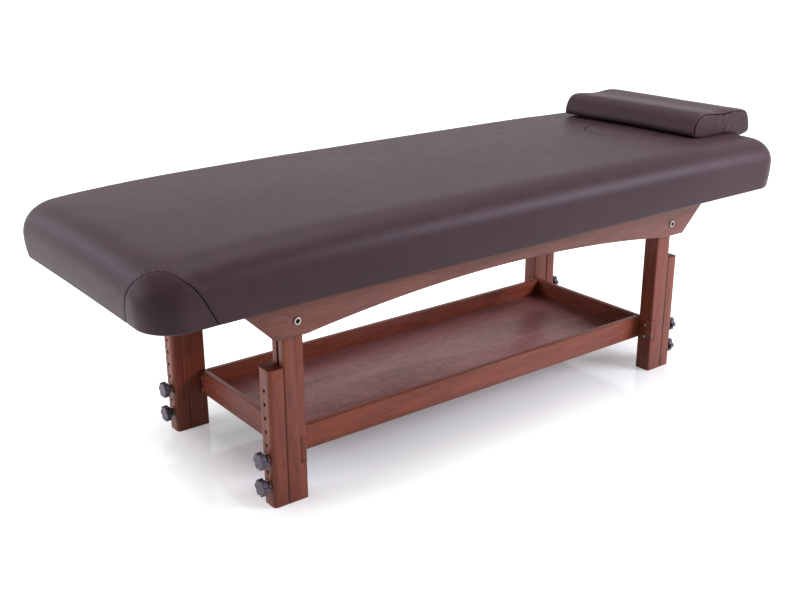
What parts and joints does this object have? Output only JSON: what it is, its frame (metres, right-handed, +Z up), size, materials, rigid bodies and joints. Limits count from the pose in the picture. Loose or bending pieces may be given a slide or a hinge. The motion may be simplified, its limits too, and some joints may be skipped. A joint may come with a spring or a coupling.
{
  "type": "massage table",
  "caption": "Wooden massage table with a thick upholstered top, face hole with a plug, loose contour pillow, storage tray and legs that slide down to raise it.",
  "frame": {"origin": "on the floor under the middle of the table, with its legs all the way up", "axes": "+Z up, +X along the table to the head end with the pillow, front side facing -Y"},
  "size_m": [1.9698, 0.736, 0.7193],
  "materials": {
    "leatherette": "dark brown upholstery leatherette, satin",
    "plywood": "bare plywood, matte",
    "stained_wood": "red-brown stained hardwood, satin lacquer",
    "inner_wood": "red-brown stained wood, matte",
    "tray_wood": "brown veneered panel, satin",
    "steel": "zinc-plated steel, satin",
    "nickel": "nickel-plated steel, satin",
    "black_plastic": "black moulded plastic, matte"
  },
  "bodies": {
    "table": {"cushion": "leatherette", "base_board": "plywood", "side_apron_front": "stained_wood", "side_apron_back": "stained_wood", "cross_rail_foot": "inner_wood", "cross_rail_centre": "inner_wood", "cross_rail_head": "inner_wood", "post_foot_front": "stained_wood", "post_foot_back": "stained_wood", "post_head_front": "stained_wood", "post_head_back": "stained_wood", "apron_bolt_foot_front": "nickel", "apron_bolt_foot_back": "nickel", "apron_bolt_head_front": "nickel", "apron_bolt_head_back": "nickel", "cross_dowel_foot_front": "steel", "cross_dowel_foot_back": "steel", "cross_dowel_head_front": "steel", "cross_dowel_head_back": "steel", "tray_side_rail_front": "stained_wood", "tray_side_rail_back": "stained_wood", "tray_end_rail_foot": "stained_wood", "tray_end_rail_head": "stained_wood", "tray_panel": "tray_wood"},
    "face_plug": {"face_plug": "leatherette"},
    "pillow": {"pillow": "leatherette"},
    "leg_foot_front": {"outer_leg_foot_front": "stained_wood", "nut_rail_foot_front": "steel", "washer_foot_front_upper": "nickel", "washer_foot_front_lower": "nickel"},
    "leg_foot_back": {"outer_leg_foot_back": "stained_wood", "nut_rail_foot_back": "steel", "washer_foot_back_upper": "nickel", "washer_foot_back_lower": "nickel"},
    "leg_head_front": {"outer_leg_head_front": "stained_wood", "nut_rail_head_front": "steel", "washer_head_front_upper": "nickel", "washer_head_front_lower": "nickel"},
    "leg_head_back": {"outer_leg_head_back": "stained_wood", "nut_rail_head_back": "steel", "washer_head_back_upper": "nickel", "washer_head_back_lower": "nickel"},
    "knob_foot_front_upper": {"knob_foot_front_upper": "black_plastic", "knob_screw_foot_front_upper": "steel"},
    "knob_foot_front_lower": {"knob_foot_front_lower": "black_plastic", "knob_screw_foot_front_lower": "steel"},
    "knob_foot_back_upper": {"knob_foot_back_upper": "black_plastic", "knob_screw_foot_back_upper": "steel"},
    "knob_foot_back_lower": {"knob_foot_back_lower": "black_plastic", "knob_screw_foot_back_lower": "steel"},
    "knob_head_front_upper": {"knob_head_front_upper": "black_plastic", "knob_screw_head_front_upper": "steel"},
    "knob_head_front_lower": {"knob_head_front_lower": "black_plastic", "knob_screw_head_front_lower": "steel"},
    "knob_head_back_upper": {"knob_head_back_upper": "black_plastic", "knob_screw_head_back_upper": "steel"},
    "knob_head_back_lower": {"knob_head_back_lower": "black_plastic", "knob_screw_head_back_lower": "steel"}
  },
  "joints": [
    {"name": "pillow_lift", "type": "slide", "parent": "table", "child": "pillow", "axis": [0, 0, 1], "range_m": [0, 0.2]},
    {"name": "face_plug_slide", "type": "slide", "parent": "table", "child": "face_plug", "axis": [0, 0, -1], "range_m": [0, 0.16]},
    {"name": "leg_slide_foot_front", "type": "slide", "parent": "table", "child": "leg_foot_front", "axis": [0, 0, -1], "range_m": [0, 0.165]},
    {"name": "leg_slide_foot_back", "type": "slide", "parent": "table", "child": "leg_foot_back", "axis": [0, 0, -1], "range_m": [0, 0.165]},
    {"name": "leg_slide_head_front", "type": "slide", "parent": "table", "child": "leg_head_front", "axis": [0, 0, -1], "range_m": [0, 0.165]},
    {"name": "leg_slide_head_back", "type": "slide", "parent": "table", "child": "leg_head_back", "axis": [0, 0, -1], "range_m": [0, 0.165]},
    {"name": "knob_turn_foot_front_upper", "type": "hinge", "parent": "leg_foot_front", "child": "knob_foot_front_upper", "pos_m": [-0.674, -0.2385, 0.1165], "axis": [-1, 0, 0], "continuous": true},
    {"name": "knob_turn_foot_front_lower", "type": "hinge", "parent": "leg_foot_front", "child": "knob_foot_front_lower", "pos_m": [-0.674, -0.2385, 0.0505], "axis": [-1, 0, 0], "continuous": true},
    {"name": "knob_turn_foot_back_upper", "type": "hinge", "parent": "leg_foot_back", "child": "knob_foot_back_upper", "pos_m": [-0.674, 0.2385, 0.1165], "axis": [-1, 0, 0], "continuous": true},
    {"name": "knob_turn_foot_back_lower", "type": "hinge", "parent": "leg_foot_back", "child": "knob_foot_back_lower", "pos_m": [-0.674, 0.2385, 0.0505], "axis": [-1, 0, 0], "continuous": true},
    {"name": "knob_turn_head_front_upper", "type": "hinge", "parent": "leg_head_front", "child": "knob_head_front_upper", "pos_m": [0.674, -0.2385, 0.1165], "axis": [1, 0, 0], "continuous": true},
    {"name": "knob_turn_head_front_lower", "type": "hinge", "parent": "leg_head_front", "child": "knob_head_front_lower", "pos_m": [0.674, -0.2385, 0.0505], "axis": [1, 0, 0], "continuous": true},
    {"name": "knob_turn_head_back_upper", "type": "hinge", "parent": "leg_head_back", "child": "knob_head_back_upper", "pos_m": [0.674, 0.2385, 0.1165], "axis": [1, 0, 0], "continuous": true},
    {"name": "knob_turn_head_back_lower", "type": "hinge", "parent": "leg_head_back", "child": "knob_head_back_lower", "pos_m": [0.674, 0.2385, 0.0505], "axis": [1, 0, 0], "continuous": true}
  ]
}
